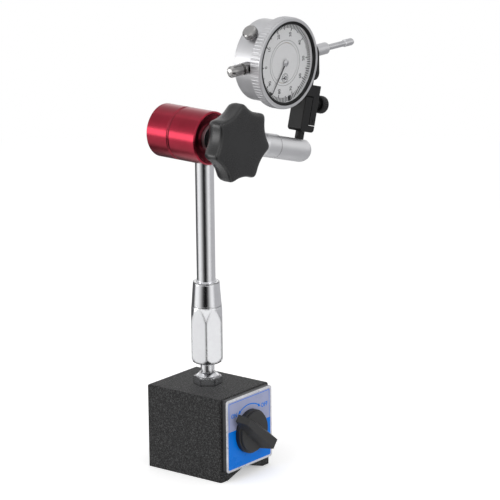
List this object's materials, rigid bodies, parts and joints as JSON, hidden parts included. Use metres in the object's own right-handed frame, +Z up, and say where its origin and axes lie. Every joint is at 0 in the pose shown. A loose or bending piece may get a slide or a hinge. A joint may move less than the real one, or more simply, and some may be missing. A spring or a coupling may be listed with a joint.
{
  "type": "dial indicator with magnetic base",
  "caption": "Jointed measuring stand on a switchable magnetic base, with a central clamp, a fine adjustment and a dial indicator held by its stem.",
  "frame": {"origin": "centre of the magnetic base's underside, on the working plane of its two pole feet", "axes": "+Z up along the upright column, -Y out of the label and switch face of the base, +X to the right of someone facing that label"},
  "size_m": [0.2046, 0.0797, 0.2782],
  "materials": {
    "black_crinkle_paint": "crinkle paint",
    "grey_paint": "satin paint",
    "label_film": "gloss film",
    "zinc_plated_steel": "zinc plated",
    "ferrite": "ground",
    "ground_steel": "ground",
    "black_plastic": "fine grained",
    "chromed_steel": "polished chrome",
    "red_anodised_aluminium": "satin anodised",
    "satin_chromed_steel": "satin chrome",
    "black_oxide_steel": "black oxide",
    "brass": "machined",
    "spring_steel": "bright wire",
    "white_dial_enamel": "matt enamel",
    "black_enamel": "matt enamel",
    "clear_crystal": "polished"
  },
  "bodies": {
    "base": {"left_pole": "black_crinkle_paint", "right_pole": "black_crinkle_paint", "upper_spacer": "black_crinkle_paint", "lower_spacer": "black_crinkle_paint", "front_cover": "grey_paint", "label_plate": "label_film", "rear_cover": "grey_paint", "cover_screws": "zinc_plated_steel", "jam_nut": "chromed_steel"},
    "switch": {"magnet_rotor": "ferrite", "rotor_shaft": "ground_steel", "switch_knob": "black_plastic"},
    "stud": {"ball_stud": "chromed_steel"},
    "column": {"socket_sleeve": "chromed_steel", "lower_ball_seat": "brass", "column_tube": "chromed_steel", "lower_push_rod": "ground_steel", "clamp_front": "red_anodised_aluminium", "front_wedge": "satin_chromed_steel", "release_spring": "spring_steel"},
    "knob": {"star_knob": "black_plastic", "knob_insert": "brass"},
    "arm": {"clamp_rear": "red_anodised_aluminium", "rear_wedge": "ground_steel", "tie_bolt": "zinc_plated_steel", "upper_arm_tube": "chromed_steel", "upper_push_rod": "ground_steel", "slotted_socket": "satin_chromed_steel", "upper_ball_seat": "brass"},
    "upper_ball": {"upper_ball_stud": "black_oxide_steel"},
    "adjuster": {"adjuster_block": "black_oxide_steel", "pivot_pin": "black_oxide_steel", "counter_spring": "spring_steel"},
    "lever": {"adjuster_lever": "black_oxide_steel"},
    "adjuster_screw": {"adjusting_screw": "black_oxide_steel"},
    "holder": {"stem_holder": "black_oxide_steel", "swivel_screw": "black_oxide_steel"},
    "dial": {"dial_case": "satin_chromed_steel", "back_cover": "satin_chromed_steel", "back_cover_screws": "zinc_plated_steel", "dial_stem": "satin_chromed_steel", "spindle_cap": "satin_chromed_steel", "movement_rear_plate": "brass", "movement_front_plate": "brass", "hairspring": "spring_steel", "dial_centre": "white_dial_enamel"},
    "clamp_screw": {"bezel_clamp_screw": "satin_chromed_steel"},
    "spindle": {"spindle": "ground_steel", "contact_point": "ground_steel"},
    "rack_gear": {"rack_gear": "brass"},
    "main_hand": {"centre_pinion": "brass", "main_pointer": "black_enamel"},
    "small_hand": {"return_gear": "brass", "small_pointer": "black_enamel"},
    "bezel": {"bezel": "satin_chromed_steel", "bezel_insert": "black_plastic", "crystal": "clear_crystal", "dial_ring": "white_dial_enamel"},
    "lower_marker": {"lower_marker": "black_enamel"},
    "upper_marker": {"upper_marker": "black_enamel"}
  },
  "joints": [
    {"name": "switch_turn", "type": "hinge", "parent": "base", "child": "switch", "pos_m": [0, -0.0337, 0.0295], "axis": [0, 1, 0], "range_deg": [0, 90]},
    {"name": "lower_swivel", "type": "hinge", "parent": "base", "child": "stud", "pos_m": [0, 0, 0.075], "axis": [0, 0, 1], "continuous": true},
    {"name": "lower_tilt", "type": "hinge", "parent": "stud", "child": "column", "pos_m": [0, 0, 0.075], "axis": [0.0663, 0.9978, 0], "range_deg": [-16, 16]},
    {"name": "knob_turn", "type": "hinge", "parent": "column", "child": "knob", "pos_m": [-0.00179, -0.02694, 0.21695], "axis": [-0.0663, -0.9978, 0], "range_deg": [0, 360]},
    {"name": "clamp_turn", "type": "hinge", "parent": "column", "child": "arm", "pos_m": [0.00164, 0.02475, 0.21695], "axis": [-0.0663, -0.9978, 0], "range_deg": [-80, 225]},
    {"name": "head_tilt", "type": "hinge", "parent": "arm", "child": "upper_ball", "pos_m": [0.11877, 0.01697, 0.18484], "axis": [0.0663, 0.9978, 0], "range_deg": [-10, 80]},
    {"name": "head_swivel", "type": "hinge", "parent": "upper_ball", "child": "adjuster", "pos_m": [0.11877, 0.01697, 0.18484], "axis": [0.2633, -0.0175, 0.9646], "continuous": true},
    {"name": "fine_adjust", "type": "hinge", "parent": "adjuster", "child": "lever", "pos_m": [0.12693, 0.0165, 0.20334], "axis": [-0.0403, -0.9992, -0.0071], "range_deg": [-1.5, 1.5]},
    {"name": "adjuster_screw_turn", "type": "hinge", "parent": "lever", "child": "adjuster_screw", "pos_m": [0.13876, 0.01596, 0.21254], "axis": [0.9639, -0.037, -0.2638], "range_deg": [-210, 210]},
    {"name": "holder_swivel", "type": "hinge", "parent": "lever", "child": "holder", "pos_m": [0.13054, 0.01613, 0.23552], "axis": [-0.0403, -0.9992, -0.0071], "range_deg": [-60, 20]},
    {"name": "dial_roll", "type": "hinge", "parent": "holder", "child": "dial", "pos_m": [0.13037, 0.01604, 0.24872], "axis": [0.9991, -0.0404, 0.0123], "continuous": true},
    {"name": "clamp_screw_turn", "type": "hinge", "parent": "dial", "child": "clamp_screw", "pos_m": [0.07412, 0.01977, 0.26962], "axis": [-0.7031, 0.0233, 0.7107], "range_deg": [0, 180]},
    {"name": "spindle_slide", "type": "slide", "parent": "dial", "child": "spindle", "axis": [-0.9991, 0.0404, -0.0123], "range_m": [0, 0.01], "stiffness_N_per_m": 30, "springref_m": -0.03},
    {"name": "rack_gear_turn", "type": "hinge", "parent": "dial", "child": "rack_gear", "pos_m": [0.10461, 0.01711, 0.24506], "axis": [-0.0403, -0.9992, -0.0071], "range_deg": [0, 360]},
    {"name": "main_hand_turn", "type": "hinge", "parent": "dial", "child": "main_hand", "pos_m": [0.09515, 0.01747, 0.24829], "axis": [0.0403, 0.9992, 0.0071], "range_deg": [0, 3600]},
    {"name": "small_hand_turn", "type": "hinge", "parent": "dial", "child": "small_hand", "pos_m": [0.09528, 0.01753, 0.23829], "axis": [-0.0403, -0.9992, -0.0071], "range_deg": [0, 360]},
    {"name": "bezel_turn", "type": "hinge", "parent": "dial", "child": "bezel", "pos_m": [0.09515, 0.01747, 0.24829], "axis": [-0.0403, -0.9992, -0.0071], "continuous": true},
    {"name": "lower_marker_turn", "type": "hinge", "parent": "bezel", "child": "lower_marker", "pos_m": [0.09515, 0.01747, 0.24829], "axis": [-0.0403, -0.9992, -0.0071], "range_deg": [-60, 20]},
    {"name": "upper_marker_turn", "type": "hinge", "parent": "bezel", "child": "upper_marker", "pos_m": [0.09515, 0.01747, 0.24829], "axis": [-0.0403, -0.9992, -0.0071], "range_deg": [-20, 40]}
  ],
  "couplings": [
    {"joint": "adjuster_screw_turn", "follows": "fine_adjust", "ratio": 138.23},
    {"joint": "rack_gear_turn", "follows": "spindle_slide", "rad_per_m": 628.32},
    {"joint": "main_hand_turn", "follows": "spindle_slide", "rad_per_m": 6283.2},
    {"joint": "small_hand_turn", "follows": "spindle_slide", "rad_per_m": 628.32}
  ]
}
